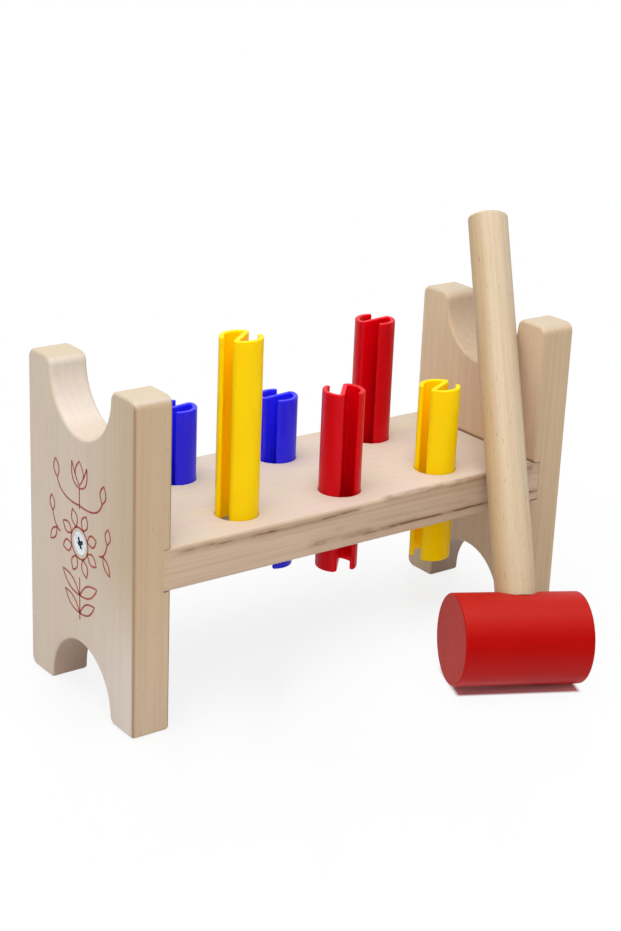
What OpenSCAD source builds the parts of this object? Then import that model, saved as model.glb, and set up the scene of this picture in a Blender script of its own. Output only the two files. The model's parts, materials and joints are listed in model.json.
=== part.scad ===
// Peg pounding bench with six sprung plastic pegs and a mallet leaning on its front edge.
// Lengths are millimetres and angles are degrees. +X runs along the bench, +Y to its back, +Z up.
// The origin is on the floor, under the middle of the bench and mallet taken together.

/* [End boards] */
// Length of the bench over its two end boards
bench_len = 227; // [205:1:250]
// Depth of the bench from front edge to back edge
bench_depth = 84; // [78:1:100]
// Height of the end boards
board_h = 143; // [135:1:160]
// Thickness of the end boards
board_t = 17.5; // [14:0.5:20]
// Radius of the round notch at the top and of the round arch at the foot
scallop_r = 23.8; // [18:0.1:26]
// Depth of the notch's centre below the board's top
notch_sink = 3; // [0:0.5:8]
// Height of the arch's centre above the floor
arch_sink = 2.3; // [0:0.1:8]
// Rounding of the four corners at the board's top
horn_r = 4; // [1:0.5:6]
// Rounding of the feet's corners that face the front
foot_front_r = 1.6; // [0.5:0.1:5]
// Rounding of the feet's corners that face the back
foot_back_r = 4; // [0.5:0.5:6]

/* [Bench top] */
// Thickness of the bench top
top_t = 18.5; // [14:0.5:22]
// Height of the bench top's underside above the floor
top_under_h = 61.5; // [57:0.5:68]
// Rounding of the bench top's four long edges
top_edge_r = 1.5; // [0.5:0.1:4]
// Depth that the bench top is let into each end board
housing_depth = 3.5; // [2:0.5:7]
// Distance between the columns of holes
column_pitch = 53; // [42:1:58]
// Distance between the two rows of holes
row_pitch = 47.5; // [34:0.5:54]

/* [Pegs] */
// Outside diameter of a peg
peg_d = 18.2; // [15:0.1:20]
// Length of a peg
peg_len = 80; // [65:1:90]
// Thickness of a peg's wall and web
peg_wall = 2.1; // [1.4:0.1:2.8]
// Angle from a yellow peg's web to the free lip of its wall
yellow_open_angle = 46; // [35:1:80]
// The same angle of a blue peg
blue_open_angle = 49; // [35:1:80]
// The same angle of a red peg
red_open_angle = 57; // [35:1:80]
// Radial clearance of a peg in its hole
peg_fit = 0.1; // [0.02:0.01:0.1]
// Depth of the back left blue peg's lower end below the bench top's upper face
back_left_drop = 47.5; // [4:0.5:52]
// Turn of the back left blue peg's web from the length of the bench
back_left_turn = 9; // [-90:1:90]
// Depth of the back middle blue peg's lower end
back_middle_drop = 51; // [4:0.5:52]
// Turn of the back middle blue peg's web from the length of the bench
back_middle_turn = 7; // [-90:1:90]
// Depth of the back right red peg's lower end
back_right_drop = 23.5; // [4:0.5:52]
// Turn of the back right red peg's web from the length of the bench
back_right_turn = 7; // [-90:1:90]
// Depth of the front left yellow peg's lower end
front_left_drop = 4; // [3:0.5:52]
// Turn of the front left yellow peg's web from the length of the bench
front_left_turn = 39; // [-90:1:90]
// Depth of the front middle red peg's lower end
front_middle_drop = 35; // [4:0.5:52]
// Turn of the front middle red peg's web from the length of the bench
front_middle_turn = 48; // [-90:1:90]
// Depth of the front right yellow peg's lower end
front_right_drop = 41.5; // [4:0.5:52]
// Turn of the front right yellow peg's web from the length of the bench
front_right_turn = 27; // [-90:1:90]

/* [Screws] */
// Diameter of a screw's countersunk head
screw_head_d = 10; // [8:0.5:12]
// Height of the head's straight rim
screw_rim = 0.4; // [0.2:0.1:1]
// Diameter of a screw's shank
screw_d = 5; // [4:0.5:6]
// Length of a screw
screw_len = 45; // [32:1:50]
// Length of the taper at a screw's tip
screw_tip = 7; // [3:1:12]
// Width of the cross recess's arms
recess_w = 1.6; // [0.8:0.1:1.8]
// Span of the cross recess
recess_span = 5.6; // [4:0.1:7]
// Depth of the cross recess
recess_depth = 2.4; // [1:0.1:3]
// Turn of the cross recess from upright
recess_turn = 25; // [0:1:90]
// Clearance round a screw in the wood
screw_fit = 0.05; // [0.02:0.01:0.2]

/* [Mallet] */
// Diameter of the mallet's head
head_d = 40; // [36:0.5:46]
// Length of the mallet's head
head_len = 58; // [48:1:68]
// Rounding of the rims of the head
head_edge_r = 1; // [0.5:0.1:5]
// Distance of the head's middle from the handle's axis
head_shift = 1.7; // [0:0.1:6]
// Diameter of the handle
handle_d = 18; // [15:0.5:21]
// Reach of the handle from the head's axis to its free end
handle_reach = 191.5; // [165:0.5:210]
// Rounding of the handle's free end
handle_edge_r = 1.5; // [0.5:0.1:3.5]
// Depth of the handle's hidden end past the head's axis
socket_past_axis = 8; // [2:0.5:12]
// Clearance of the handle in its socket
handle_fit = 0.05; // [0.02:0.01:0.2]
// Lean of the handle towards the bench
handle_lean = 32.6; // [26:0.1:38]
// Turn of the head's axis from the length of the bench
head_turn = 22.5; // [16:0.1:30]
// Dip of the head's axis towards the end that stands on the floor
head_dip = 3.1; // [0:0.1:5]
// Gap between the handle and the bench top's front edge
lean_gap = 0.3; // [0.2:0.1:1]
// Gap between the handle and the rim of the right end board's notch
rim_gap = 0.3; // [0.2:0.1:1]

/* [Hidden] */
$fn = 96;
// How far a cut runs past the face that it opens
overrun = 1;
top_z = top_under_h + top_t;
top_mid_z = top_under_h + top_t / 2;
peg_r = peg_d / 2;
screw_head_r = screw_head_d / 2;
screw_r = screw_d / 2;
head_r = head_d / 2;
handle_r = handle_d / 2;

// Direction of the leaning handle, from the head to its free end
lean_x = cos(handle_lean) * sin(head_dip) * cos(head_turn) + sin(handle_lean) * sin(head_turn);
lean_y = sin(handle_lean) * cos(head_turn) - cos(handle_lean) * sin(head_dip) * sin(head_turn);
lean_z = cos(handle_lean) * cos(head_dip);
// The far end of the head stands on the floor with its rim
far_core = head_len / 2 - head_shift - head_edge_r;
core_r = head_r - head_edge_r;
mallet_z = far_core * sin(head_dip) + core_r * cos(head_dip) + head_edge_r;
// The head lies this far in front of the bench, so that the handle rests on the bench top's edge
edge_distance = (handle_r + lean_gap + top_edge_r) * norm([lean_y, lean_z]);
mallet_ahead = ((top_z - top_edge_r - mallet_z) * lean_y + edge_distance) / lean_z - top_edge_r;
// Floor depth that the head covers in front of the handle's axis
head_slant = cos(head_dip) * sin(head_turn);
head_front = far_core * head_slant + core_r * sqrt(1 - pow(head_slant, 2)) + head_edge_r;
// The bench and mallet together are centred on the origin
front_y = (mallet_ahead + head_front - bench_depth) / 2;
mid_y = front_y + bench_depth / 2;
mallet_y = front_y - mallet_ahead;
// The handle leans into the corner: along the bench it just clears the rim of the right end board's notch
rim_angles = [170 : 5 : 230];
mallet_x = bench_len / 2 - board_t - max([for (angle = rim_angles) rim_clearance(rim_point(angle))]);

// Columns and rows of the holes, counted from the middle of the bench top
left = -1;
middle = 0;
right = 1;
front = -1;
back = 1;

beech = [0.86, 0.76, 0.64];
handle_beech = [0.88, 0.77, 0.58];
yellow = [0.98, 0.80, 0.02];
blue = [0.12, 0.12, 0.80];
red = [0.72, 0.02, 0.06];
red_paint = [0.78, 0.14, 0.11];
zinc = [0.75, 0.78, 0.80];

function polar(radius, angle) = [radius * cos(angle), radius * sin(angle)];

// Point of the right notch's rim: its place along the bench's depth and its height
function rim_point(angle) = [mid_y, board_h - notch_sink] + polar(scallop_r, angle);

// Distance along the bench from the mallet to the rim, at which the handle just clears a rim point
function rim_clearance(point) =
    let (
        y = point.x - mallet_y,
        z = point.y - mallet_z,
        along = y * lean_y + z * lean_z,
        spare = pow(handle_r + rim_gap, 2) - pow(y, 2) - pow(z, 2) + pow(along, 2),
        square_sum = pow(lean_x * along, 2) + (1 - pow(lean_x, 2)) * spare
    )
    square_sum < 0 ? 0 : (lean_x * along + sqrt(square_sum)) / (1 - pow(lean_x, 2));

// Distance from a scallop's centre, along the board's edge, to the centre of its mouth's rounding
function mouth_offset(sink, r) = sqrt(pow(scallop_r + r, 2) - pow(sink - r, 2));

// Round cut into the edge at y = 0, with its mouth's two corners rounded into the board
module scallop(sink, near_r, far_r) {
    near = bench_depth / 2 - mouth_offset(sink, near_r);
    far = bench_depth / 2 + mouth_offset(sink, far_r);
    translate([bench_depth / 2, sink]) circle(scallop_r);
    difference() {
        polygon([
            [near, -overrun], [far, -overrun], [far, far_r], [bench_depth / 2, sink], [near, near_r]
        ]);
        translate([near, near_r]) circle(near_r);
        translate([far, far_r]) circle(far_r);
    }
}

// What is cut off to round a corner whose board lies towards +x and +y
module corner_cut(r) {
    difference() {
        translate([-overrun, -overrun]) square(r + overrun);
        translate([r, r]) circle(r);
    }
}

// Outline of an end board, seen along the bench: x is the depth and y the height
module board_outline() {
    difference() {
        square([bench_depth, board_h]);
        scallop(arch_sink, foot_back_r, foot_front_r);
        corner_cut(foot_front_r);
        translate([bench_depth, 0]) mirror([1, 0]) corner_cut(foot_back_r);
        translate([0, board_h]) mirror([0, 1]) {
            scallop(notch_sink, horn_r, horn_r);
            corner_cut(horn_r);
            translate([bench_depth, 0]) mirror([1, 0]) corner_cut(horn_r);
        }
    }
}

// Turned form of a screw along +Z from the face of its head, grown all round by a clearance
module screw_form(grow) {
    neck_z = screw_rim + screw_head_r - screw_r;
    rotate_extrude() polygon([
        [0, 0], [screw_head_r + grow, 0], [screw_head_r + grow, screw_rim], [screw_r + grow, neck_z],
        [screw_r + grow, screw_len - screw_tip], [0, screw_len + grow]
    ]);
}

// Tapered cross recess, cut into the face of a screw's head
module cross_recess() {
    intersection() {
        union() {
            for (arm = [0, 90])
                rotate([0, 0, arm - recess_turn])
                    translate([-recess_span / 2, -recess_w / 2, -overrun])
                        cube([recess_span, recess_w, recess_depth + overrun]);
        }
        union() {
            translate([0, 0, -overrun]) cylinder(h = overrun, r = recess_span / 2);
            cylinder(h = recess_depth, r1 = recess_span / 2, r2 = recess_w);
        }
    }
}

// Puts a left-hand screw's form through the middle of the left end board
module at_left_screw() {
    translate([-bench_len / 2, mid_y, top_mid_z]) rotate([0, 90, 0]) children();
}

module end_board() {
    difference() {
        translate([-bench_len / 2, front_y, 0])
            rotate([90, 0, 90])
                linear_extrude(board_t) board_outline();
        translate([-bench_len / 2 + board_t - housing_depth, front_y - overrun, top_under_h])
            cube([housing_depth + overrun, bench_depth + 2 * overrun, top_t]);
        at_left_screw() screw_form(screw_fit);
    }
}

module screw() {
    difference() {
        screw_form(0);
        cross_recess();
    }
}

module left_end_board() {
    color(beech) end_board();
}

module right_end_board() {
    color(beech) mirror([1, 0, 0]) end_board();
}

module left_screw() {
    color(zinc) at_left_screw() screw();
}

module right_screw() {
    color(zinc) mirror([1, 0, 0]) at_left_screw() screw();
}

// Section of the bench top: x is the depth and y the height
module top_section() {
    difference() {
        square([bench_depth, top_t]);
        corner_cut(top_edge_r);
        translate([bench_depth, 0]) mirror([1, 0]) corner_cut(top_edge_r);
        translate([0, top_t]) mirror([0, 1]) {
            corner_cut(top_edge_r);
            translate([bench_depth, 0]) mirror([1, 0]) corner_cut(top_edge_r);
        }
    }
}

module bench_top() {
    half_len = bench_len / 2 - board_t + housing_depth;
    color(beech) difference() {
        translate([-half_len, front_y, top_under_h])
            rotate([90, 0, 90])
                linear_extrude(2 * half_len) top_section();
        for (column = [left, middle, right], row = [front, back])
            translate([column * column_pitch, mid_y + row * row_pitch / 2, top_under_h - overrun])
                cylinder(h = top_t + 2 * overrun, r = peg_r + peg_fit);
        at_left_screw() screw_form(screw_fit);
        mirror([1, 0, 0]) at_left_screw() screw_form(screw_fit);
    }
}

// Slice of a disc between two angles, as wide as the whole peg
module peg_slice(from_angle, to_angle) {
    steps = 4;
    polygon([
        [0, 0],
        for (i = [0 : steps]) polar(peg_d, from_angle + (to_angle - from_angle) * i / steps)
    ]);
}

// Half of a peg's S section: half the web along +x, the bend at its end, and the wall that follows it
module half_section(open_angle) {
    inner_r = peg_r - peg_wall;
    mid_r = peg_r - peg_wall / 2;
    // Inside corner of the bend, where the web meets the wall
    corner = [sqrt(pow(inner_r, 2) - pow(peg_wall / 2, 2)), -peg_wall / 2];
    corner_angle = atan2(corner.y, corner.x);
    lip_angle = open_angle - 180 + asin(peg_wall / 2 / mid_r);
    bend_reach = 2 * peg_wall;
    bend_lap_angle = 20;
    intersection() {
        difference() {
            circle(peg_r);
            circle(inner_r);
        }
        peg_slice(lip_angle, corner_angle);
    }
    translate(polar(mid_r, lip_angle)) circle(peg_wall / 2);
    translate([0, -peg_wall / 2]) square([corner.x, peg_wall]);
    intersection() {
        translate(corner) circle(peg_wall);
        translate(corner) polygon([
            [0, 0], polar(bend_reach, corner_angle - bend_lap_angle),
            polar(bend_reach, 45), polar(bend_reach, 90 + bend_lap_angle)
        ]);
    }
}

// One peg in its hole, and turned end for end where other_end_up is true
module peg(column, row, drop, turn, open_angle, other_end_up = false) {
    translate([column * column_pitch, mid_y + row * row_pitch / 2, top_z - drop])
        rotate([0, 0, turn])
            translate([0, 0, other_end_up ? peg_len : 0])
                rotate([other_end_up ? 180 : 0, 0, 0])
                    linear_extrude(peg_len) {
                        half_section(open_angle);
                        rotate(180) half_section(open_angle);
                    }
}

module blue_peg_back_left() {
    color(blue) peg(left, back, back_left_drop, back_left_turn, blue_open_angle);
}

module blue_peg_back_middle() {
    color(blue) peg(middle, back, back_middle_drop, back_middle_turn, blue_open_angle);
}

module red_peg_back_right() {
    color(red) peg(right, back, back_right_drop, back_right_turn, red_open_angle);
}

module yellow_peg_front_left() {
    color(yellow)
        peg(left, front, front_left_drop, front_left_turn, yellow_open_angle, other_end_up = true);
}

module red_peg_front_middle() {
    color(red) peg(middle, front, front_middle_drop, front_middle_turn, red_open_angle);
}

module yellow_peg_front_right() {
    color(yellow)
        peg(right, front, front_right_drop, front_right_turn, yellow_open_angle, other_end_up = true);
}

// Puts the mallet down as it leans: its head along x and its handle along z, from where their axes cross
module at_mallet() {
    translate([mallet_x, mallet_y, mallet_z])
        rotate([-handle_lean, head_dip, -head_turn])
            children();
}

// Half section of a round bar from its foot at y = 0, with its upper rim rounded
module rounded_bar(r, len, edge_r) {
    square([r, len - edge_r]);
    square([r - edge_r, len]);
    translate([r - edge_r, len - edge_r]) circle(edge_r);
}

module mallet_head() {
    color(red_paint) at_mallet() difference() {
        translate([-head_shift, 0, 0]) rotate([0, 90, 0])
            rotate_extrude() {
                rounded_bar(head_r, head_len / 2, head_edge_r);
                mirror([0, 1]) rounded_bar(head_r, head_len / 2, head_edge_r);
            }
        translate([0, 0, -socket_past_axis - handle_fit])
            cylinder(h = socket_past_axis + handle_fit + head_r + overrun, r = handle_r + handle_fit);
    }
}

module mallet_handle() {
    color(handle_beech) at_mallet()
        translate([0, 0, -socket_past_axis])
            rotate_extrude()
                rounded_bar(handle_r, handle_reach + socket_past_axis, handle_edge_r);
}

left_end_board();
right_end_board();
bench_top();
left_screw();
right_screw();
blue_peg_back_left();
blue_peg_back_middle();
red_peg_back_right();
yellow_peg_front_left();
red_peg_front_middle();
yellow_peg_front_right();
mallet_head();
mallet_handle();
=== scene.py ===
"""Looks of a peg pounding bench: eased beech boards, plastic pegs, a painted mallet and zinc screws."""
import json
import math

import bmesh
import bpy
from mathutils import Euler, Matrix, Vector


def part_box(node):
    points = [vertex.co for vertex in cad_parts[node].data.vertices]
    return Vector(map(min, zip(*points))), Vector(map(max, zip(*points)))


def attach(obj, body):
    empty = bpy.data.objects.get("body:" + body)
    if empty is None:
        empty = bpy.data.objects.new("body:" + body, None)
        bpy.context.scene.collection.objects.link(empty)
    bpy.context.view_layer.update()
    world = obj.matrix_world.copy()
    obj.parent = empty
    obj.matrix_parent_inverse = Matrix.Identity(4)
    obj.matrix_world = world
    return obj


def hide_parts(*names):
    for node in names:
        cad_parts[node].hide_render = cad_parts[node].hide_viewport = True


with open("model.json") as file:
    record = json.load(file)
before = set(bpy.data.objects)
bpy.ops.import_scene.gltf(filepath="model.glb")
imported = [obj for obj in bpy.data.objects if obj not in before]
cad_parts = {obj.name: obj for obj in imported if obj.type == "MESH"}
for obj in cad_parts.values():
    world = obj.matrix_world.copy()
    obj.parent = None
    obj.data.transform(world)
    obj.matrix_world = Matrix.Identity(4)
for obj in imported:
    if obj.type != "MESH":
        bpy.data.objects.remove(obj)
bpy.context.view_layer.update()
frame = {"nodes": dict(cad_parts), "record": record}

MM = 0.001
UP = Vector((0, 0, 1))
ALONG_BENCH = Vector((1, 0, 0))

# The leaning mallet: lean of its handle, dip of its head and turn of its head from the length of the bench
HANDLE_LEAN = math.radians(32.6)
HEAD_DIP = math.radians(3.1)
HEAD_TURN = math.radians(22.5)
MALLET_TURN = Euler((-HANDLE_LEAN, HEAD_DIP, -HEAD_TURN)).to_matrix()
HEAD_AXIS = MALLET_TURN @ ALONG_BENCH
HANDLE_AXIS = MALLET_TURN @ UP

# Lowest and highest corner of each CAD node
BOX = {node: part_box(node) for node in frame["nodes"]}


def middle(node):
    """Middle of a CAD node's box."""
    low, high = BOX[node]
    return (low + high) / 2


def srgb(red, green, blue):
    """Linear colour of a screen colour given from 0 to 255."""
    def linear(value):
        share = value / 255
        return share / 12.92 if share <= 0.04045 else ((share + 0.055) / 1.055) ** 2.4
    return (linear(red), linear(green), linear(blue), 1)


class Shader:
    """One material and the nodes that feed its Principled BSDF."""

    def __init__(self, name):
        self.material = bpy.data.materials.new(name)
        self.material.use_nodes = True
        self.tree = self.material.node_tree
        self.bsdf = self.tree.nodes["Principled BSDF"]

    def put(self, socket, value):
        """Links an output to a socket, or sets the socket's own value."""
        if isinstance(value, bpy.types.NodeSocket):
            self.tree.links.new(value, socket)
        else:
            socket.default_value = value

    def add(self, kind, inputs, **settings):
        """A new node with its settings made and its inputs filled."""
        made = self.tree.nodes.new("ShaderNode" + kind)
        for name, value in settings.items():
            setattr(made, name, value)
        for name, value in inputs.items():
            self.put(made.inputs[name], value)
        return made

    def finish(self, **sockets):
        """Fills the BSDF's sockets, named with underscores for spaces."""
        for name, value in sockets.items():
            self.put(self.bsdf.inputs[name.replace("_", " ")], value)
        return self.material

    def own(self, output="Object"):
        """The object's own coordinates in metres, or its own normal."""
        return self.add("TexCoord", {}).outputs[output]

    def parts(self, vector):
        return self.add("SeparateXYZ", {0: vector}).outputs

    def coordinates(self, grain=UP, centre=(0, 0, 0)):
        """The object's own coordinates, turned so that z runs along the grain."""
        turn = grain.rotation_difference(UP)
        return self.add("Mapping", {
            "Vector": self.own(),
            "Rotation": turn.to_euler(),
            "Location": -(turn @ Vector(centre)),
        }).outputs["Vector"]

    def scaled(self, vector, shares):
        return self.add("VectorMath", {0: vector, 1: shares}, operation="MULTIPLY").outputs[0]

    def stretched(self, coordinates, along):
        """Coordinates drawn out along the grain: a small share makes long streaks."""
        return self.scaled(coordinates, (1, 1, along))

    def minus(self, vector, other):
        return self.add("VectorMath", {0: vector, 1: other}, operation="SUBTRACT").outputs[0]

    def dot(self, vector, way):
        return self.add("VectorMath", {0: vector, 1: way}, operation="DOT_PRODUCT").outputs["Value"]

    def length(self, vector):
        return self.add("VectorMath", {0: vector}, operation="LENGTH").outputs["Value"]

    def noise(self, coordinates, scale, detail=2.0, distortion=0.0):
        return self.add("TexNoise", {
            "Vector": coordinates, "Scale": scale, "Detail": detail, "Distortion": distortion,
        }).outputs["Fac"]

    def math(self, operation, first, second=0.0, third=0.0):
        return self.add("Math", {0: first, 1: second, 2: third}, operation=operation).outputs[0]

    def range(self, value, low, high, to_low, to_high):
        """Maps low..high to to_low..to_high, held at the ends."""
        return self.add("MapRange", {
            "Value": value, "From Min": low, "From Max": high, "To Min": to_low, "To Max": to_high,
        }).outputs["Result"]

    def ramp(self, value, *stops):
        """Colour ramp through (place, colour) stops."""
        made = self.add("ValToRGB", {"Fac": value})
        elements = made.color_ramp.elements
        while len(elements) < len(stops):
            elements.new(0.5)
        for element, (place, colour) in zip(elements, stops):
            element.position = place
            element.color = colour
        return made.outputs["Color"]

    def mix(self, share, first, second):
        made = self.add("Mix", {0: share}, data_type="RGBA")
        self.put(made.inputs[6], first)
        self.put(made.inputs[7], second)
        return made.outputs[2]

    def bump(self, height, strength, distance, after=None):
        made = self.add("Bump", {"Height": height, "Strength": strength, "Distance": distance})
        if after is not None:
            self.put(made.inputs["Normal"], after)
        return made.outputs["Normal"]

    def seen(self):
        """1 for what is seen, directly, in a reflection or through a clear thing, and 0 for light."""
        path = self.add("LightPath", {}).outputs
        direct = self.math("MAXIMUM", path["Is Camera Ray"], path["Is Glossy Ray"])
        return self.math("MAXIMUM", direct, path["Is Transmission Ray"])


def on_side(s):
    """1 on the bench's front and back faces, and 0 further in."""
    low, high = BOX["bench_top"]
    half = (high.y - low.y) / 2
    from_middle = s.math("ABSOLUTE", s.math("SUBTRACT", s.parts(s.own())["Y"], low.y + half))
    return s.range(from_middle, half - SIDE_DEPTH, half - SIDE_SKIN, 0.0, 1.0)


def side_faces(s, colour, side_tone, corner_shade_tone):
    """Gives the bench's front and back faces a tone of their own, and paints shade down the upright corners
    beside them in the corner shade tone.
    """
    side = on_side(s)
    colour = s.mix(s.math("MULTIPLY", side, 0.85), colour, srgb(*side_tone))
    facing = s.parts(s.own("Normal"))
    # Painted shade down the upright corners beside the front and back faces
    corner = s.math("ABSOLUTE", s.math("MULTIPLY", facing["X"], facing["Y"]))
    corner = s.math("MULTIPLY", s.range(corner, 0.2, 0.45, 0.0, 0.8), s.math("GREATER_THAN", side, 0.0))
    return s.mix(corner, colour, srgb(*corner_shade_tone))


def board_cuts(s, colour, notch_tone):
    """Sawn faces of an end board: a paler notch, painted shade in its arch, and duller end grain on its
    horns.
    """
    top = BOX["left_end_board"][1].z
    height = s.parts(s.own())["Z"]
    facing = s.parts(s.own("Normal"))
    cut = s.range(s.math("ABSOLUTE", facing["X"]), 0.3, 0.7, 1.0, 0.0)
    cut = s.math("MULTIPLY", cut, s.range(s.math("ABSOLUTE", facing["Z"]), 0.85, 0.97, 1.0, 0.0))
    cut = s.math("MULTIPLY", cut, s.math("SUBTRACT", 1.0, on_side(s)))
    # The lower sawn faces, in the arch, get painted shade; the upper ones the notch's tone
    tone = s.mix(s.range(height, 0.4 * top, 0.6 * top, 0.0, 1.0), srgb(*ARCH_SHADE_TONE), srgb(*notch_tone))
    colour = s.mix(cut, colour, tone)
    return s.mix(s.range(height, top - HORN_DEPTH, top - HORN_SKIN, 0.0, 1.0), colour, srgb(*HORN_TONE))


def left_front_tones(s, colour):
    """The left end board is darker towards its front from a quarter of its height up, and paler towards its
    front low down.
    """
    low, high = BOX["left_end_board"]
    place = s.parts(s.own())
    front = s.range(place["Y"], low.y, (low.y + high.y) / 2, 1.0, 0.0)
    front_dark = s.math("MULTIPLY", front, s.range(place["Z"], 0.25 * high.z, 0.5 * high.z, 0.0, 1.0))
    front_pale = s.math("MULTIPLY", front, s.range(place["Z"], 0.1 * high.z, 0.5 * high.z, 0.8, 0.0))
    colour = s.mix(front_pale, colour, srgb(*FRONT_PALE_TONE))
    return s.mix(front_dark, colour, srgb(*FRONT_DARK_TONE))


def left_faces(s, colour):
    return board_cuts(s, side_faces(s, left_front_tones(s, colour), SIDE_TONE, LEFT_CORNER_SHADE_TONE), LEFT_NOTCH_TONE)


def right_faces(s, colour):
    return board_cuts(s, side_faces(s, colour, SIDE_TONE, SIDE_TONE), RIGHT_NOTCH_TONE)


def handle_faces(s, colour):
    """The handle is browner towards the head, and has painted shade on its left side."""
    low, high = BOX["mallet_handle"]
    colour = s.mix(s.range(s.parts(s.own())["Z"], low.z, high.z, 0.65, 0.0), colour, srgb(*HANDLE_LOW_TONE))
    # Painted shade on the handle's left side
    to_right = s.parts(s.own("Normal"))["X"]
    return s.mix(s.range(to_right, -1.0, -0.72, 0.7, 0.0), colour, srgb(*HANDLE_SHADED_SIDE_TONE))


def top_faces(s, colour):
    """The bench top's front and back faces, its dark veins with painted shade along its top edge, and
    painted shade in its seams with the end boards.
    """
    colour = side_faces(s, colour, TOP_SIDE_TONE, TOP_SIDE_TONE)
    colour = s.mix(veins_and_shade(s), colour, srgb(*VEIN_AND_SHADE_TONE))
    inner_face = BOX["right_end_board"][0].x
    place = s.parts(s.own())
    # Painted shade in the seams where the bench top meets the end boards
    seam = s.range(s.math("ABSOLUTE", place["X"]), inner_face - SEAM_SHADE_WIDTH, inner_face, 0.0, 0.8)
    on_top = s.math("GREATER_THAN", place["Z"], BOX["bench_top"][1].z - 0.1 * MM)
    return s.mix(s.math("MULTIPLY", seam, on_top), colour, srgb(*VEIN_AND_SHADE_TONE))


def veins_and_shade(s):
    """Share of dark vein and of painted shade on the bench top's front: broken cores in soft halos along
    the listed lines.
    """
    front = BOX["bench_top"][0].y
    x, y, z = s.parts(s.own())[:3]
    wander = s.noise(s.own(), 32, 3)
    drawn_out = s.scaled(s.own(), (0.3, 1, 1))
    broken = s.range(s.noise(drawn_out, 420, 3), 0.38, 0.56, 0.45, 1.0)
    total = None
    for (x0, z0), (x1, z1), width, strength in VEIN_AND_SHADE_LINES:
        along = s.range(x, x0 * MM, x1 * MM, 0.0, 1.0)
        line = s.math("MULTIPLY_ADD", along, (z1 - z0) * MM, (z0 - MARK_WANDER / 2) * MM)
        line = s.math("MULTIPLY_ADD", wander, MARK_WANDER * MM, line)
        off = s.math("ABSOLUTE", s.math("SUBTRACT", z, line))
        core = s.math("MULTIPLY", s.range(off, 0.25 * width * MM, width * MM, strength, 0.0), broken)
        halo = s.range(off, 0.0, MARK_HALO * width * MM, 0.35 * strength, 0.0)
        fade = min(MARK_FADE_SHARE, MARK_FADE / (x1 - x0))
        ends = s.range(s.math("PINGPONG", along, 0.5), 0.0, fade, 0.0, 1.0)
        share = s.math("MULTIPLY", s.math("MAXIMUM", core, halo), ends)
        total = share if total is None else s.math("MAXIMUM", total, share)
    return s.math("MULTIPLY", total, s.range(y, front + MARK_DEPTH, front + MARK_END, 1.0, 0.0))


def beech(name, grain, centre, tones, pith, faces, figure=1.0, fleck=0.14, streak=0.12, round_stock=False):
    """Beech along its grain: mottled tones, growth rings round a far pith, fibres and flecks.

    Faces tints it by place. Figure, fleck and streak are the strengths of rings and fibres, of short dark
    flecks and of long streaks. Streaks keep to the bench's front and back, or run all over round stock.
    """
    s = Shader(name)
    place = s.coordinates(grain, centre)
    mottle = s.noise(s.stretched(place, 0.22), 62, 3, 0.6)
    colour = s.ramp(mottle, *zip((0.34, 0.50, 0.66), (srgb(*tone) for tone in tones)))
    colour = faces(s, colour)
    from_pith = s.minus(s.stretched(place, 0.06), pith)
    rings = s.add("TexWave", {
        "Vector": from_pith, "Scale": 78, "Distortion": 5.0, "Detail": 2.0, "Detail Scale": 0.8,
    }, wave_type="RINGS", rings_direction="Z", wave_profile="SAW").outputs["Fac"]
    colour = s.mix(s.range(rings, 0.55, 1.0, 0.0, 0.07 * figure), colour, srgb(*RING_TONE))
    fibres = s.noise(s.stretched(place, 0.022), 1300, 2)
    colour = s.mix(s.range(fibres, 0.40, 0.75, 0.0, 0.10 * figure), colour, srgb(*FIBRE_TONE))
    streaks = s.range(s.noise(s.stretched(place, 0.018), 560, 3), 0.46, 0.70, 0.0, streak)
    if not round_stock:
        streaks = s.math("MULTIPLY", streaks, on_side(s))
    colour = s.mix(streaks, colour, srgb(*STREAK_TONE))
    flecks = s.range(s.noise(s.stretched(place, 0.14), 1700, 1), 0.66, 0.76, 0.0, fleck)
    colour = s.mix(flecks, colour, srgb(*FLECK_TONE))
    grooves = s.math("SUBTRACT", s.math("MULTIPLY", fibres, 0.6), flecks)
    return s.finish(
        Base_Color=colour,
        Roughness=s.range(fibres, 0.3, 0.7, 0.48, 0.62),
        Specular_IOR_Level=0.25,
        Normal=s.bump(grooves, 0.20, 0.10 * MM),
    )


def plastic(node, colour, deep, inner, glow, gloss, through):
    """Glossy extruded plastic with faint draw lines, and painted light in a peg's grooves.

    Glow is how far light goes in, gloss the strength of the sheen, and through the strength of a painted
    glow in a groove that stands for light coming through its wall.
    """
    s = Shader(node + "_plastic")
    place = s.coordinates(centre=middle(node))
    cloud = s.noise(place, 60, 2)
    lines = s.noise(s.stretched(place, 0.012), 1500, 2)
    tint = s.mix(s.range(cloud, 0.35, 0.7, 0.0, 0.5), srgb(*colour), srgb(*deep))
    radius = s.length(s.stretched(place, 0))
    # Painted light: a brighter colour in a groove, against its shade
    groove = s.range(radius, GROOVE_RADIUS, WALL_RADIUS, 1.0, 0.0)
    tint = s.mix(groove, tint, srgb(*inner))
    return s.finish(
        Base_Color=tint,
        Roughness=s.range(lines, 0.3, 0.7, 0.26, 0.38),
        Specular_IOR_Level=gloss,
        Subsurface_Weight=0.45,
        Subsurface_Radius=glow,
        Subsurface_Scale=4.0 * MM,
        Emission_Color=srgb(*deep),
        # Painted glow in a groove, standing for light coming through its wall
        Emission_Strength=s.math("MULTIPLY", groove, through) if through else 0.0,
        Normal=s.bump(lines, 0.10, 0.06 * MM),
    )


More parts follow.
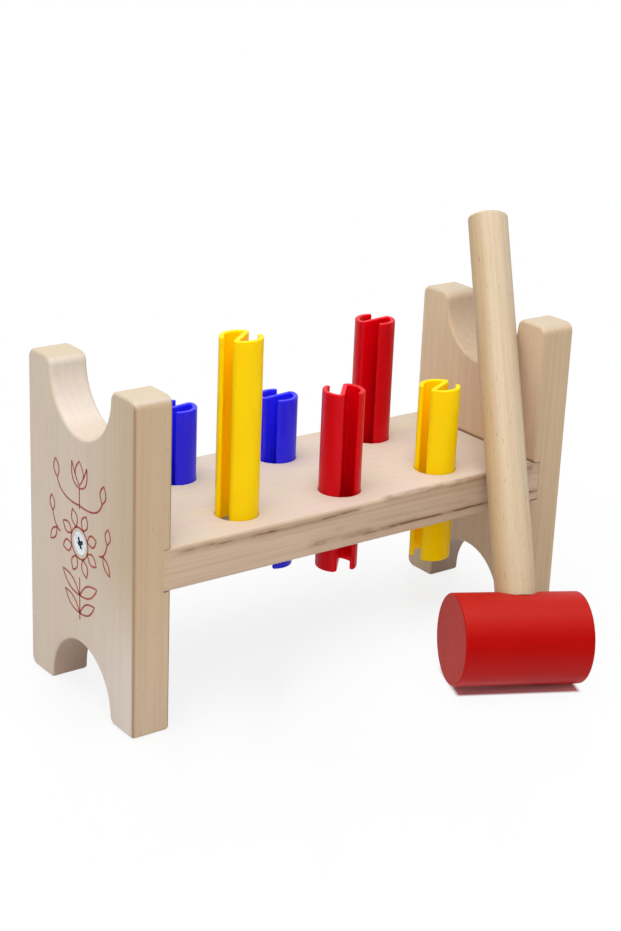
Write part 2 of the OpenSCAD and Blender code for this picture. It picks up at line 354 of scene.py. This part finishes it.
def red_paint():
    """Satin paint over turned wood: orange peel, the grain just showing, and duller end faces.

    It is paler on top as a painted highlight, and has less sheen round its middle as a painted dark
    reflection.
    """
    s = Shader("red_paint")
    place = s.coordinates(HEAD_AXIS, middle("mallet_head"))
    peel = s.noise(place, 1500, 2)
    grain = s.noise(s.stretched(place, 0.05), 520, 3)
    cloud = s.noise(place, 45, 3)
    colour = s.mix(s.range(cloud, 0.35, 0.7, 0.0, 0.6), srgb(*PAINT_TONE), srgb(*PAINT_CLOUD_TONE))
    colour = s.mix(s.range(grain, 0.5, 0.75, 0.0, 0.22), colour, srgb(*PAINT_GRAIN_TONE))
    along = s.dot(s.own("Normal"), HEAD_AXIS)
    ends = s.range(s.math("ABSOLUTE", along), 0.85, 0.97, 0.0, 0.3)
    colour = s.mix(ends, colour, srgb(*PAINT_END_TONE))
    upward = s.parts(s.own("Normal"))["Z"]
    # Painted highlight on the head's top
    colour = s.mix(s.range(upward, 0.45, 0.85, 0.0, 0.45), colour, srgb(*PAINT_TOP_HIGHLIGHT_TONE))
    # Less sheen round the middle: a painted dark reflection
    off_middle = s.math("ABSOLUTE", s.math("SUBTRACT", upward, 0.3))
    skin = s.bump(peel, 0.10, 0.08 * MM)
    return s.finish(
        Base_Color=colour,
        Roughness=s.range(grain, 0.3, 0.7, 0.38, 0.50),
        Specular_IOR_Level=s.range(off_middle, 0.1, 0.5, 0.05, 0.13),
        Normal=s.bump(grain, 0.12, 0.10 * MM, after=skin),
    )


def zinc():
    """Bright zinc plate with cloudy tints and turning marks, with painted shade down in the cross recess.
    """
    s = Shader("zinc")
    place = s.coordinates(ALONG_BENCH, middle("left_screw"))
    cloud = s.noise(place, 420, 3)
    colour = s.ramp(cloud, *zip((0.3, 0.55, 0.75), (srgb(*tone) for tone in ZINC_TONES)))
    outer_face = BOX["right_screw"][1].x
    depth = s.math("SUBTRACT", outer_face, s.math("ABSOLUTE", s.parts(s.own())["X"]))
    radius = s.length(s.stretched(place, 0))
    inner = s.range(radius, RECESS_RADIUS, RECESS_RADIUS + 0.2 * MM, 1.0, 0.0)
    # Painted shade down in the cross recess
    recess = s.math("MULTIPLY", s.range(depth, 0.1 * MM, 0.6 * MM, 0.0, 1.0), inner)
    colour = s.mix(recess, colour, srgb(*RECESS_SHADE_TONE))
    turning = s.add("TexWave", {
        "Vector": place, "Scale": 900, "Distortion": 0.6,
    }, wave_type="RINGS", rings_direction="Z").outputs["Fac"]
    return s.finish(
        Base_Color=colour,
        Metallic=1.0,
        Roughness=s.range(cloud, 0.3, 0.7, 0.26, 0.40),
        Normal=s.bump(turning, 0.12, 0.05 * MM),
    )


def ink():
    """Matt red ink that lets the grain through where it is thin."""
    s = Shader("red_ink")
    thin = s.noise(s.stretched(s.own(), 0.05), 900, 2)
    blots = s.noise(s.own(), 300, 2)
    colour = s.mix(s.range(blots, 0.4, 0.7, 0.0, 0.6), srgb(*INK_TONE), srgb(*INK_BLOT_TONE))
    colour = s.mix(s.range(thin, 0.46, 0.72, 0.0, 0.55), colour, srgb(*INK_THIN_TONE))
    return s.finish(Base_Color=colour, Roughness=s.range(thin, 0.3, 0.7, 0.5, 0.62), Specular_IOR_Level=0.2)


# Screen colours of the wood: mottled tones of each piece, then tints by place, then marks of the grain
LEFT_TONES = ((211, 191, 177), (208, 192, 176), (209, 194, 172))
RIGHT_TONES = ((217, 191, 162), (218, 193, 160), (219, 197, 164))
TOP_TONES = ((211, 193, 180), (210, 195, 179), (211, 197, 174))
HANDLE_TONES = ((205, 184, 156), (208, 189, 162), (211, 194, 168))
HANDLE_LOW_TONE = (190, 165, 130)
# Painted shade on the handle's left side
HANDLE_SHADED_SIDE_TONE = (190, 160, 114)
SIDE_TONE = (197, 171, 139)
TOP_SIDE_TONE = (199, 173, 145)
# Painted shade down the left end board's upright corners
LEFT_CORNER_SHADE_TONE = (152, 122, 88)
# Tones of the left end board towards its front: darker above, paler low down
FRONT_DARK_TONE = (192, 172, 142)
FRONT_PALE_TONE = (220, 210, 200)
LEFT_NOTCH_TONE = (214, 202, 190)
RIGHT_NOTCH_TONE = (208, 185, 158)
# Painted shade on the sawn faces in an end board's arch
ARCH_SHADE_TONE = (181, 158, 140)
HORN_TONE = (200, 185, 161)
# Veins, and painted shade along the bench top's top edge and in its seams
VEIN_AND_SHADE_TONE = (108, 72, 36)
RING_TONE = (150, 112, 80)
FIBRE_TONE = (158, 120, 90)
STREAK_TONE = (150, 112, 76)
FLECK_TONE = (126, 88, 60)
# Screen colours of the head's paint, the zinc and the ink
PAINT_TONE = (174, 8, 4)
PAINT_CLOUD_TONE = (165, 7, 4)
PAINT_GRAIN_TONE = (150, 8, 6)
PAINT_END_TONE = (180, 66, 52)
# Painted highlight on the head's top
PAINT_TOP_HIGHLIGHT_TONE = (182, 38, 26)
ZINC_TONES = ((196, 208, 218), (226, 230, 233), (226, 222, 210))
# Painted shade in a screw's cross recess
RECESS_SHADE_TONE = (34, 56, 64)
INK_TONE = (160, 62, 54)
INK_BLOT_TONE = (142, 54, 46)
INK_THIN_TONE = (190, 142, 124)

# Depth at which the tones of side faces and horns begin, and at which they are full
SIDE_DEPTH = 1.3 * MM
SIDE_SKIN = 0.3 * MM
HORN_DEPTH = 1.6 * MM
HORN_SKIN = 0.4 * MM
# A peg's groove lies within the first radius, and its outer wall beyond the second
GROOVE_RADIUS = 7.0 * MM
WALL_RADIUS = 8.6 * MM
# A screw's cross recess lies within this radius
RECESS_RADIUS = 2.9 * MM

# Dark veins and painted shade on the bench top's front face: ends along x and z, half width in mm, and
# strength
VEIN_AND_SHADE_LINES = (
    ((-96, 77.6), (-81, 77.4), 0.9, 0.60),
    ((-86, 77.5), (-73, 77.7), 0.9, 0.75),
    ((-80, 77.1), (-49, 76.9), 0.8, 0.75),
    ((-63, 76.8), (-41, 77.0), 1.0, 0.95),
    ((-52, 76.9), (-15, 77.0), 1.2, 0.50),
    ((-27, 77.0), (-5, 77.5), 0.9, 0.95),
    ((-13, 77.5), (-1, 77.4), 0.8, 0.85),
    ((-31, 66.3), (9, 66.8), 2.4, 0.45),
    ((-3, 65.6), (12, 65.8), 1.2, 0.95),
    ((2, 65.8), (33, 66.6), 2.0, 0.50),
    ((9, 66.2), (106, 66.2), 0.9, 0.95),
    # These two rows along the top edge's right half are a brown streak and painted shade from the mallet's
    # handle
    ((8, 79.3), (106, 79.6), 1.8, 0.55),
    ((42, 79.0), (106, 79.2), 2.4, 0.55),
    ((90, 77.6), (97, 78.2), 1.6, 1.0),
    ((-20, 71.0), (60, 70.0), 2.0, 0.20),
)
# In mm, how far a vein or shade line wanders and how far its ends fade, at most this share of it; a halo's
# width in half widths; and the depths behind the front face at which these lines weaken and end
MARK_WANDER = 1.2
MARK_FADE = 6.0
MARK_FADE_SHARE = 0.35
MARK_HALO = 3.0
MARK_DEPTH = 1.2 * MM
MARK_END = 2.8 * MM
# Width of the painted shade line where the bench top meets an end board
SEAM_SHADE_WIDTH = 0.8 * MM

LEFT_BEECH = beech(
    "left_beech", UP, middle("left_end_board"), LEFT_TONES, (0.09, 0.035, 0), left_faces,
    figure=0.7, fleck=0.18,
)
RIGHT_BEECH = beech(
    "right_beech", UP, middle("right_end_board"), RIGHT_TONES, (-0.07, -0.05, 0), right_faces,
)
TOP_BEECH = beech(
    "top_beech", ALONG_BENCH, middle("bench_top"), TOP_TONES, (0.05, 0.07, 0), top_faces,
    figure=0.7, streak=0.25,
)
HANDLE_BEECH = beech(
    "handle_beech", HANDLE_AXIS, middle("mallet_handle"), HANDLE_TONES, (0.05, 0.02, 0), handle_faces,
    figure=1.3, fleck=0.45, streak=0.10, round_stock=True,
)
# Plastics: colour, its deeper cloud, the colour in a groove, painted brighter against its shade, how far
# red, green and blue light go in, gloss, and the strength of a painted glow in a groove
PLASTICS = {
    "yellow_plastic": ((255, 211, 0), (255, 202, 0), (255, 212, 0), (1.0, 0.55, 0.03), 0.08, 0.07),
    "red_plastic": ((202, 0, 18), (194, 0, 16), (222, 0, 19), (1.0, 0.05, 0.05), 0.12, 0.0),
    "blue_plastic": ((40, 32, 242), (34, 26, 232), (44, 40, 250), (0.1, 0.15, 1.0), 0.25, 0.0),
}
RED_PAINT = red_paint()
ZINC = zinc()
INK = ink()

# Rounding of the wood's edges, seams, housing mouths and hole rims, of the mallet's socket, pegs and screws
BOARD_EASE = 1.5 * MM
SEAM_EASE = 0.16 * MM
MOUTH_EASE = 0.45 * MM
RIM_EASE = 0.4 * MM
SOCKET_EASE = 1.6 * MM
PEG_EASE = 0.5 * MM
SCREW_EASE = 0.12 * MM
EASE_STEPS = 3
# Faces that meet at more than the first angle are an edge, and at less than the second they are one face
EDGE_ANGLE = math.radians(38)
FLAT_ANGLE = math.radians(0.4)
# Points this close are one, and a point this close to a plane or line is on it
WELD = 0.002 * MM
NEAR = 0.02 * MM
# Edges this close to a screw's axis belong to its hole
HOLE_REACH = 8 * MM
# Boards get a row of points this far above and below the bench top, which keeps their shading even
ROW_OFF = 1.5 * MM


def body_of(node):
    """The rigid body that a CAD node belongs to."""
    bodies = frame["record"]["behaviour"]["bodies"]
    return next(body for body, nodes in bodies.items() if node in nodes)


def slot_of(node):
    """The record's material slot of a CAD node."""
    return next(row["material_slot"] for row in frame["record"]["subparts"] if row["node"] == node)


def make_piece(name, mesh, material):
    """A smooth-shaded object from a bmesh, with its hard edges kept and its flat faces flat."""
    data = bpy.data.meshes.new(name)
    mesh.to_mesh(data)
    mesh.free()
    data.materials.append(material)
    data.shade_smooth()
    data.set_sharp_from_angle(angle=EDGE_ANGLE)
    piece = bpy.data.objects.new(name, data)
    bpy.context.scene.collection.objects.link(piece)
    normals = piece.modifiers.new("normals", "WEIGHTED_NORMAL")
    normals.keep_sharp = True
    return piece


def eased(node, name, material, ease_of, rows=()):
    """Stands for a CAD node with its sharp edges rounded: ease_of gives an edge's radius, or 0 to keep it.

    Rows are heights at which its faces are divided.
    """
    mesh = bmesh.new()
    mesh.from_mesh(frame["nodes"][node].data)
    bmesh.ops.remove_doubles(mesh, verts=mesh.verts[:], dist=WELD)
    bmesh.ops.dissolve_limit(mesh, angle_limit=FLAT_ANGLE, verts=mesh.verts[:], edges=mesh.edges[:])
    groups = {}
    for edge in mesh.edges:
        if edge.is_manifold and edge.calc_face_angle() > EDGE_ANGLE:
            groups.setdefault(ease_of(edge), []).append(edge)
    groups.pop(0, None)
    for ease in sorted(groups, reverse=True):
        bmesh.ops.bevel(
            mesh, geom=[e for e in groups[ease] if e.is_valid], offset=ease, offset_type="OFFSET",
            segments=EASE_STEPS, profile=0.5, affect="EDGES", clamp_overlap=False,
        )
    for height in rows:
        whole = mesh.verts[:] + mesh.edges[:] + mesh.faces[:]
        bmesh.ops.bisect_plane(mesh, geom=whole, dist=WELD, plane_co=(0, 0, height), plane_no=UP)
    piece = make_piece(name, mesh, material)
    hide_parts(node)
    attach(piece, body_of(node))
    return piece


def on_seam(spots):
    """Whether an edge runs up the seam of the bench top's end and an end board, in front or behind."""
    low, high = BOX["bench_top"]
    upright = abs(spots[0].z - spots[1].z) > NEAR
    at_end = all(abs(abs(c.x) - high.x) < NEAR for c in spots)
    return upright and at_end and all(min(c.y - low.y, high.y - c.y) < NEAR for c in spots)


def board_ease(edge):
    """Eases an end board's outer edges and seams, and leaves its housing and the screw's hole sharp."""
    low, high = BOX["bench_top"]
    screw = middle("left_screw")
    spots = [v.co for v in edge.verts]
    in_housing = all(low.z - MM < c.z < high.z + MM and abs(c.x) < high.x + NEAR for c in spots)
    in_hole = all(math.hypot(c.y - screw.y, c.z - screw.z) < HOLE_REACH for c in spots)
    if on_seam(spots):
        return SEAM_EASE
    inner_face = BOX["right_end_board"][0].x
    at_mouth = all(abs(abs(c.x) - inner_face) < NEAR and low.z - NEAR < c.z < high.z + NEAR for c in spots)
    if at_mouth:
        return MOUTH_EASE
    return 0 if in_housing or in_hole else BOARD_EASE


def top_ease(edge):
    """Eases the rims of the bench top's holes, and its ends where the seams show."""
    low, high = BOX["bench_top"]
    spots = [v.co for v in edge.verts]
    if on_seam(spots):
        return SEAM_EASE
    on_face = all(min(c.z - low.z, high.z - c.z) < NEAR for c in spots)
    inside = max(abs(c.x) for c in spots) < high.x - NEAR
    return RIM_EASE if on_face and inside else 0


HOUSING_ROWS = (BOX["bench_top"][0].z - ROW_OFF, BOX["bench_top"][1].z + ROW_OFF)
PEGS = {
    "blue_peg_back_left": "back_left_blue",
    "blue_peg_back_middle": "back_middle_blue",
    "red_peg_back_right": "back_right_red",
    "yellow_peg_front_left": "front_left_yellow",
    "red_peg_front_middle": "front_middle_red",
    "yellow_peg_front_right": "front_right_yellow",
}

eased("left_end_board", "left_board", LEFT_BEECH, board_ease, HOUSING_ROWS)
eased("right_end_board", "right_board", RIGHT_BEECH, board_ease, HOUSING_ROWS)
eased("bench_top", "plank", TOP_BEECH, top_ease)
eased("left_screw", "left_zinc_screw", ZINC, lambda edge: SCREW_EASE)
eased("right_screw", "right_zinc_screw", ZINC, lambda edge: SCREW_EASE)
for peg_node, peg_name in PEGS.items():
    eased(peg_node, peg_name, plastic(peg_node, *PLASTICS[slot_of(peg_node)]), lambda edge: PEG_EASE)
eased("mallet_head", "painted_head", RED_PAINT, lambda edge: SOCKET_EASE)
eased("mallet_handle", "beech_handle", HANDLE_BEECH, lambda edge: 0)


# Printed sprig on the left end board, drawn round the screw: width of its lines and height off the wood
LINE_WIDTH = 0.85 * MM
INK_LIFT = 0.03 * MM
CURVE_STEPS = 14
# The rosette's ring, in mm, and its petals
RING_RADIUS = 6.8
RING_STEPS = 24
PETALS = 8


def leaf(start, tip, width):
    """Closed pointed loop from its stalk to its tip."""
    a, b = Vector(start), Vector(tip)
    across = Vector((a.y - b.y, b.x - a.x)).normalized() * width / 2
    shares = [i / CURVE_STEPS for i in range(CURVE_STEPS)]
    there = [a.lerp(b, t) + across * math.sin(math.pi * t) for t in shares]
    again = [b.lerp(a, t) - across * math.sin(math.pi * t) for t in shares]
    return there + again + there[:1]


def stalk(start, bend, end):
    """Curved line from start to end, drawn towards the bend."""
    a, b, c = Vector(start), Vector(bend), Vector(end)
    return [a.lerp(b, t).lerp(b.lerp(c, t), t) for t in (i / CURVE_STEPS for i in range(CURVE_STEPS + 1))]


def sprig_lines():
    """Lines of the print in mm across and up from the screw: rosette, stem, leaves, sprays and tulip."""
    turns = (math.tau * i / RING_STEPS for i in range(RING_STEPS + 1))
    lines = [[Vector((math.cos(t), math.sin(t))) * RING_RADIUS for t in turns]]
    for petal in range(PETALS):
        turn = math.tau * (petal + 0.5) / PETALS
        way = Vector((math.cos(turn), math.sin(turn)))
        lines.append(leaf(way * RING_RADIUS, way * 14.5, 4.8))
    lines.append([Vector(p) for p in ((0, 15), (0, 24))])
    lines.append(stalk((0, 24), (-7.5, 24.5), (-6, 34)) + stalk((-6, 34), (-3.5, 29), (-3, 29)))
    lines.append(stalk((0, 24), (7.5, 24.5), (6, 34)) + stalk((6, 34), (3.5, 29), (3, 29)))
    lines.append(leaf((0, 25), (0, 35.5), 6.5))
    lines.append([Vector(p) for p in ((0, -15), (0, -34))])
    for side in (-1, 1):
        lines.append(leaf((0, -31), (side * 12, -24), 4.5))
        lines.append(leaf((0, -23), (side * 14, -15.5), 5.0))
        lines.append(stalk((0, 16.5), (side * 15, 15), (side * 18, 23)))
        lines.append(leaf((side * 18, 23), (side * 19.5, 31), 4.5))
        lines.append(stalk((side * 15.5, 0), (side * 20, 0), (side * 22, 7)))
        lines.append(leaf((side * 22, 7), (side * 22.8, 14), 4.0))
        lines.append(leaf((side * 18.5, 0.8), (side * 24, -6), 3.6))
    return lines


def printed_sprig():
    """Flat ribbons of ink along the sprig's lines, on the left end board's outer face."""
    face = BOX["left_end_board"][0].x - INK_LIFT
    screw = middle("left_screw")
    mesh = bmesh.new()
    for line in sprig_lines():
        row = []
        for i, spot in enumerate(line):
            way = (line[min(i + 1, len(line) - 1)] - line[max(i - 1, 0)]).normalized()
            across = Vector((-way.y, way.x)) * LINE_WIDTH / 2
            row.append([
                mesh.verts.new((face, screw.y - p.x, screw.z + p.y))
                for p in (spot * MM + across, spot * MM - across)
            ])
        for (a, b), (c, d) in zip(row, row[1:]):
            mesh.faces.new((a, b, d, c))
    bmesh.ops.recalc_face_normals(mesh, faces=mesh.faces[:])
    piece = make_piece("printed_sprig", mesh, INK)
    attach(piece, "bench")


printed_sprig()


# Floor by the mallet's head that keeps its full shadow while the head is within reach above it: half its
# length, and its width ahead of the head's axis
CONTACT_HALF = 27 * MM
CONTACT_FRONT = 10 * MM
COVER_REACH = 25 * MM
# Linear colours of the floor, and of the floor by the head with a painted red reflection of it
FLOOR_GREY = (0.80, 0.80, 0.80, 1)
FLOOR_RED_REFLECTION = (0.95, 0.46, 0.47, 1)
WHITE = (1, 1, 1, 1)
FLOOR_RADIUS = 8
FLOOR_SINK = 0.05 * MM
# Strength of the surroundings as light, and as they are seen
WORLD_LIGHT = 0.45
WORLD_SEEN = 1.0


def white_floor():
    """Pale floor that shows white, with light shadows, painted light that lifts the shadow round the
    mallet's head, and a darker shadow with a painted red reflection where the head lies.
    """
    s = Shader("white_floor")
    head = middle("mallet_head")
    from_head = s.minus(s.own(), (head.x, head.y, 0))
    along_way = Vector((math.cos(HEAD_TURN), -math.sin(HEAD_TURN), 0))
    front_way = Vector((-math.sin(HEAD_TURN), -math.cos(HEAD_TURN), 0)) - 0.09 * along_way
    along = s.dot(from_head, along_way)
    ahead = s.dot(from_head, front_way)
    contact = s.range(s.math("ABSOLUTE", along), CONTACT_HALF - MM, CONTACT_HALF + MM, 1.0, 0.0)
    contact = s.math("MULTIPLY", contact, s.range(ahead, CONTACT_FRONT - MM, CONTACT_FRONT + MM, 1.0, 0.0))
    contact = s.math("MULTIPLY", contact, s.range(ahead, -2 * CONTACT_FRONT, -CONTACT_FRONT, 0.0, 1.0))
    openness = s.add("AmbientOcclusion", {"Distance": COVER_REACH}, samples=4).outputs["AO"]
    contact = s.math("MULTIPLY", contact, s.range(openness, 0.75, 0.95, 1.0, 0.0))
    # Painted red reflection of the head on the floor where it lies
    red_reflection = s.mix(contact, FLOOR_GREY, FLOOR_RED_REFLECTION)
    s.finish(Base_Color=red_reflection, Roughness=0.2, Specular_IOR_Level=0.8)
    far_off = s.range(s.length(s.own()), 0.07, 0.30, 0.80, 1.0)
    # Painted light that lifts the floor's shadow round the head
    painted_light_by_head = s.range(s.length(from_head), 0.05, 0.10, 0.94, 0.80)
    whiteness = s.math("MAXIMUM", far_off, painted_light_by_head)
    whiteness = s.math("MULTIPLY", whiteness, s.math("SUBTRACT", 1.0, contact))
    white = s.add("Emission", {"Color": WHITE, "Strength": 1.0}).outputs[0]
    share = s.math("MULTIPLY", s.seen(), whiteness)
    mixed = s.add("MixShader", {0: share, 1: s.bsdf.outputs[0], 2: white}).outputs[0]
    s.put(s.tree.nodes["Material Output"].inputs["Surface"], mixed)
    return s.material


def make_stage():
    """White floor, white surroundings, a broad soft light from above and a fill from the front left."""
    scene = bpy.context.scene
    scene.view_settings.view_transform = "Standard"

    bpy.ops.mesh.primitive_circle_add(
        vertices=96, radius=FLOOR_RADIUS, fill_type="NGON", location=(0, 0, -FLOOR_SINK),
    )
    floor = bpy.context.object
    floor.name = "floor"
    floor.data.materials.append(white_floor())

    world = bpy.data.worlds.new("studio")
    scene.world = world
    world.use_nodes = True
    nodes, links = world.node_tree.nodes, world.node_tree.links
    background = nodes["Background"]
    background.inputs["Color"].default_value = WHITE
    path = nodes.new("ShaderNodeLightPath")
    seen = nodes.new("ShaderNodeMath")
    seen.operation = "MAXIMUM"
    links.new(path.outputs["Is Camera Ray"], seen.inputs[0])
    links.new(path.outputs["Is Glossy Ray"], seen.inputs[1])
    through = nodes.new("ShaderNodeMath")
    through.operation = "MAXIMUM"
    links.new(seen.outputs[0], through.inputs[0])
    links.new(path.outputs["Is Transmission Ray"], through.inputs[1])
    strength = nodes.new("ShaderNodeMapRange")
    strength.inputs["To Min"].default_value = WORLD_LIGHT
    strength.inputs["To Max"].default_value = WORLD_SEEN
    links.new(through.outputs[0], strength.inputs["Value"])
    links.new(strength.outputs["Result"], background.inputs["Strength"])

    lamp("overhead", at=(-0.2, -0.1, 1.5), towards=(0, 0, 0.05), size=1.3, power=20.5)
    lamp("front_fill", at=(-0.78, -1.0, 0.95), towards=(0, 0, 0.08), size=1.2, power=6)


def lamp(name, at, towards, size, power):
    """Square soft light."""
    data = bpy.data.lights.new(name, "AREA")
    data.shape = "SQUARE"
    data.size = size
    data.energy = power
    light = bpy.data.objects.new(name, data)
    light.location = at
    light.rotation_euler = (Vector(towards) - Vector(at)).to_track_quat("-Z", "Y").to_euler()
    bpy.context.scene.collection.objects.link(light)


# Camera at the photograph's viewing angle: place, azimuth, elevation and roll in degrees, lens and film
# in mm, and the shift of its picture
CAMERA_PLACE = (-0.46583, -0.58556, 0.36962)
CAMERA_ANGLES = (-36.979, 20.25, 2.346)
LENS = 73.27
FILM = 36
SHIFT = (-0.00054, 0.00066)


def make_camera():
    """Sets the camera up by its angles and place."""
    azimuth, elevation, roll = (math.radians(angle) for angle in CAMERA_ANGLES)
    flat = math.cos(elevation)
    back = Vector((math.sin(azimuth) * flat, -math.cos(azimuth) * flat, math.sin(elevation)))
    level = Vector((math.cos(azimuth), math.sin(azimuth), 0))
    upward = back.cross(level)
    right = math.cos(roll) * level + math.sin(roll) * upward
    top = -math.sin(roll) * level + math.cos(roll) * upward
    data = bpy.data.cameras.new("camera")
    data.lens = LENS
    data.sensor_width = FILM
    data.shift_x, data.shift_y = SHIFT
    camera = bpy.data.objects.new("camera", data)
    turn = Matrix((right, top, back)).transposed().to_4x4()
    camera.matrix_world = Matrix.Translation(CAMERA_PLACE) @ turn
    bpy.context.scene.collection.objects.link(camera)
    bpy.context.scene.camera = camera


make_stage()
make_camera()
